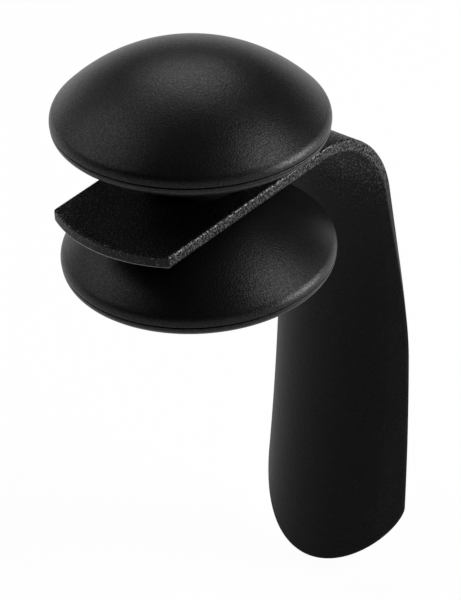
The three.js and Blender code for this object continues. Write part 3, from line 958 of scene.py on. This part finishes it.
class HEELSHAKER_OT_clamp(bpy.types.Operator):
    """Builds the button-head bolt with its thread, the washer and the nut"""

    bl_idname = "heel_shaker.clamp"
    bl_label = "Bolt, Washer and Nut"

    STEPS = 48
    CROWN_STEPS = 8
    THREAD_DEPTH_SHARE = 0.6             # of the pitch
    CREST_SHARES = (0.42, 0.58)          # where the crest starts and ends, of the pitch
    HEAD_WALL_SHARE = 0.45               # upright part of the head, the rest is round
    CHAMFER_SHARE = 0.985                # flat end of the nut, of the width over its flats
    WASHER_EDGE = 0.15 * MM

    def execute(self, context):
        clamp = context.scene.heel_shaker.clamp
        bolt_low, bolt_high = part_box("clamp_bolt")
        seat = bolt_high.z - clamp.head_height
        bolt = self.bolt(clamp, seat - bolt_low.z)
        settle(set_down(bolt, seat), "button_bolt", "zinc_steel", ROOT, "clamp_bolt")
        washer = set_down(self.washer(clamp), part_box("bolt_washer")[0].z)
        settle(washer, "flat_washer", "zinc_steel", ROOT, "bolt_washer")
        nut = set_down(self.nut(clamp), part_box("clamp_nut")[0].z)
        settle(nut, "hex_nut", "zinc_steel", ROOT, "clamp_nut")
        for name in ("button_bolt", "flat_washer", "hex_nut"):
            crisp(bpy.data.objects[name], FASTENER_EDGE)
        return {"FINISHED"}

    def bolt(self, clamp, length):
        """Bolt with the underside of its head at height 0."""
        steps = self.STEPS
        root = clamp.bolt_radius - self.THREAD_DEPTH_SHARE * clamp.pitch
        turns = round(clamp.thread_length / clamp.pitch) + 2
        thread = Profile(root, -length - clamp.pitch)
        for i in range(turns):
            low = -length - clamp.pitch + i * clamp.pitch
            for crest in self.CREST_SHARES:
                thread.line(clamp.bolt_radius, low + crest * clamp.pitch)
            thread.line(root, low + clamp.pitch)
        bm = thread.bm
        bmesh.ops.spin(
            bm, geom=bm.verts[:] + bm.edges[:], cent=(0, 0, 0), axis=(0, 0, 1),
            dvec=(0, 0, clamp.pitch / steps), angle=2 * HALF_TURN, steps=steps,
            use_duplicate=False)
        bmesh.ops.remove_doubles(bm, verts=bm.verts[:], dist=SAME_PLACE)
        top = clamp.thread_length - length
        for z, up in ((-length, -1), (top, 1)):
            bmesh.ops.bisect_plane(
                bm, geom=bm.verts[:] + bm.edges[:] + bm.faces[:], dist=SAME_PLACE / 10,
                plane_co=(0, 0, z), plane_no=(0, 0, up), clear_outer=True)
        for z in (-length, top):
            rim = [e for e in bm.edges if e.is_boundary
                   and all(abs(v.co.z - z) < SAME_PLACE for v in e.verts)]
            bmesh.ops.edgeloop_fill(bm, edges=rim)
        shank = Profile(0, top - clamp.pitch / 2)
        shank.line(clamp.bolt_radius, top - clamp.pitch / 2)
        shank.line(clamp.bolt_radius, 0)
        shank.line(clamp.head_radius, 0)
        shank.line(clamp.head_radius, clamp.head_height * self.HEAD_WALL_SHARE)
        crown = (1 - self.HEAD_WALL_SHARE) * clamp.head_height
        shank.arc(clamp.head_radius - crown, clamp.head_height - crown, -QUARTER_TURN,
                  self.CROWN_STEPS)
        solid = shank.turned(steps)
        rim = loop_near(solid, clamp.head_radius - crown, clamp.head_height)
        socket = hexagon(solid, clamp.socket_radius, clamp.head_height, steps)
        bridge(solid, rim, socket)
        bottom = lifted(solid, socket, -clamp.socket_depth)
        bmesh.ops.edgeloop_fill(solid, edges=bottom)
        joined = bpy.data.meshes.new("joined")
        bmesh.ops.recalc_face_normals(solid, faces=solid.faces[:])
        solid.to_mesh(joined)
        solid.free()
        bm.from_mesh(joined)
        bpy.data.meshes.remove(joined)
        return bm

    def washer(self, clamp):
        """Flat washer from height 0 up."""
        bore = clamp.bolt_radius + clamp.bore_clearance
        line = Profile(bore, 0)
        line.line(clamp.washer_radius, 0, self.WASHER_EDGE)
        line.line(clamp.washer_radius, clamp.washer_thickness, self.WASHER_EDGE)
        line.line(bore, clamp.washer_thickness)
        return line.close().soften().turned(self.STEPS)

    def nut(self, clamp):
        """Hexagon nut from height 0 up, chamfered at both ends."""
        steps = self.STEPS
        bm = bmesh.new()
        bore = clamp.bolt_radius + clamp.bore_clearance
        flats = clamp.nut_radius * math.cos(HALF_TURN / 6)
        slope = math.tan(HALF_TURN / 6)
        rings = []
        for z, way in ((0, 1), (clamp.nut_height, -1)):
            outer = nut_ring(bm, clamp.nut_radius, flats, z, steps, way * slope)
            bevel = circle(bm, flats * self.CHAMFER_SHARE, z, steps)
            inner = circle(bm, bore, z, steps)
            bridge(bm, outer, bevel)
            bridge(bm, bevel, inner)
            rings.append((outer, inner))
        bridge(bm, rings[0][0], rings[1][0])
        bridge(bm, rings[0][1], rings[1][1])
        return bm


class HEELSHAKER_OT_shot(bpy.types.Operator):
    """Builds the loose steel shot, each on its own body"""

    bl_idname = "heel_shaker.shot"
    bl_label = "Steel Shot"

    SUBDIVISIONS = 4

    def execute(self, context):
        for name in sorted(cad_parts):
            if "_shot_" not in name:
                continue
            low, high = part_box(name)
            bm = bmesh.new()
            bmesh.ops.create_icosphere(
                bm, subdivisions=self.SUBDIVISIONS, radius=(high.z - low.z) / 2,
                matrix=Matrix.Translation((low + high) / 2))
            ball = name.replace("_shot_", "_ball_")
            settle(bm, ball, "steel_shot", name, name)
        return {"FINISHED"}


LAMPS = (
    # name, azimuth and elevation in degrees, side of the square in metres, watts
    ("low_right", 304, 2, 0.35, 7.5),
    ("right", 300, 45, 0.3, 2.1),
    ("left", 120, 45, 0.5, 1.7),
    ("left_low", 92, 16, 0.6, 0.45),
    ("far", 41, 55, 0.4, 1.9),
)
AIM = Vector((0, 0, -40 * MM))           # the middle of the part, which the lamps face


def lamp(name, azimuth, elevation, side, power, distance):
    """A square soft lamp that faces the part."""
    data = bpy.data.lights.new(name, "AREA")
    data.shape = "SQUARE"
    data.size = side
    data.energy = power
    a, e = math.radians(azimuth), math.radians(elevation)
    away = Vector((math.cos(a) * math.cos(e), math.sin(a) * math.cos(e), math.sin(e)))
    made = bpy.data.objects.new(name, data)
    made.location = AIM + away * distance
    made.visible_camera = False
    made.rotation_euler = away.to_track_quat("Z", "Y").to_euler()
    bpy.context.scene.collection.objects.link(made)


class HEELSHAKER_OT_studio(bpy.types.Operator):
    """Builds the floor, the lamps, the white surroundings and the camera"""

    bl_idname = "heel_shaker.studio"
    bl_label = "Studio"

    ROUND_STEPS = 96
    SWEEP_STEPS = 16
    SENSOR_HEIGHT = 24                   # millimetres
    CLIP = (0.05, 20)                    # metres, the nearest and farthest that is seen

    def execute(self, context):
        settings = context.scene.heel_shaker
        studio = settings.studio
        self.floor(studio, settings.finishes)
        for name, azimuth, elevation, side, power in LAMPS:
            lamp(name, azimuth, elevation, side, power * studio.lamp_power,
                 studio.lamp_distance)
        self.world(studio)
        self.camera(studio)
        return {"FINISHED"}

    def floor(self, studio, looks):
        """A pale floor with an upturned rim, white to camera and gloss, keeping a shadow."""
        low = cad_box[0].z - studio.floor_drop
        flat = studio.sweep_radius - studio.sweep_round
        line = Profile(0, low).line(flat, low)
        line.arc(flat, low + studio.sweep_round, -QUARTER_TURN, self.SWEEP_STEPS)
        line.line(studio.sweep_radius, low + studio.sweep_height)
        bm = line.turned(self.ROUND_STEPS)
        bmesh.ops.recalc_face_normals(bm, faces=bm.faces[:])
        bmesh.ops.reverse_faces(bm, faces=bm.faces[:])
        finish = Finish("pale_floor")
        paper = finish.node("ShaderNodeBsdfDiffuse", {}, {"Color": rgba(looks.floor_colour)})
        glow = finish.node("ShaderNodeEmission", {}, {"Color": (1, 1, 1, 1), "Strength": 1})
        mixed = finish.node("ShaderNodeMixShader", {}, {
            0: finish.seen() * studio.floor_share, 1: paper, 2: glow})
        finish.node("ShaderNodeOutputMaterial", {}, {"Surface": mixed})
        placed(bm, "floor", finish.material)

    def world(self, studio):
        """Even light from above the rim of the backdrop, none unless it is asked for."""
        world = bpy.data.worlds.new("surroundings")
        bpy.context.scene.world = world
        world.use_nodes = True
        light = world.node_tree.nodes["Background"]
        light.inputs["Color"].default_value = (1, 1, 1, 1)
        light.inputs["Strength"].default_value = studio.world_light

    def camera(self, studio):
        """The photograph's view, with a sensor fitted to the picture's height."""
        data = bpy.data.cameras.new("camera")
        data.sensor_fit = "VERTICAL"
        data.sensor_height = self.SENSOR_HEIGHT
        data.lens = studio.lens
        data.clip_start, data.clip_end = self.CLIP
        camera = bpy.data.objects.new("camera", data)
        camera.location = studio.camera_place
        camera.rotation_euler = studio.camera_turn
        bpy.context.scene.collection.objects.link(camera)
        bpy.context.scene.camera = camera
        bpy.context.scene.view_settings.view_transform = "Standard"


OPERATORS = (
    HEELSHAKER_OT_bracket,
    HEELSHAKER_OT_pods,
    HEELSHAKER_OT_clamp,
    HEELSHAKER_OT_shot,
    HEELSHAKER_OT_studio,
)


class HEELSHAKER_PT_panel(bpy.types.Panel):
    """Sizes, colours and the builders of each piece"""

    bl_label = "Heel Shaker"
    bl_idname = "HEELSHAKER_PT_panel"
    bl_space_type = "VIEW_3D"
    bl_region_type = "UI"
    bl_category = "Heel Shaker"

    def draw(self, context):
        settings = context.scene.heel_shaker
        for group in (settings.pods, settings.bracket, settings.clamp,
                      settings.finishes, settings.studio):
            box = self.layout.box()
            for name in group.__annotations__:
                box.prop(group, name)
        for operator in OPERATORS:
            self.layout.operator(operator.bl_idname)


CLASSES = (
    PodSizes, BracketSizes, ClampSizes, Finishes, StudioSizes, ShakerSettings,
    *OPERATORS, HEELSHAKER_PT_panel,
)


def register():
    """Adds the classes, and the settings to every scene."""
    for cls in CLASSES:
        bpy.utils.register_class(cls)
    bpy.types.Scene.heel_shaker = PointerProperty(type=ShakerSettings)


def unregister():
    """Takes the settings and the classes away again."""
    del bpy.types.Scene.heel_shaker
    for cls in reversed(CLASSES):
        bpy.utils.unregister_class(cls)


def main():
    """Builds every piece and the stage."""
    register()
    bpy.ops.heel_shaker.bracket()
    bpy.ops.heel_shaker.pods()
    bpy.ops.heel_shaker.clamp()
    bpy.ops.heel_shaker.shot()
    bpy.ops.heel_shaker.studio()


if __name__ == "__main__":
    main()
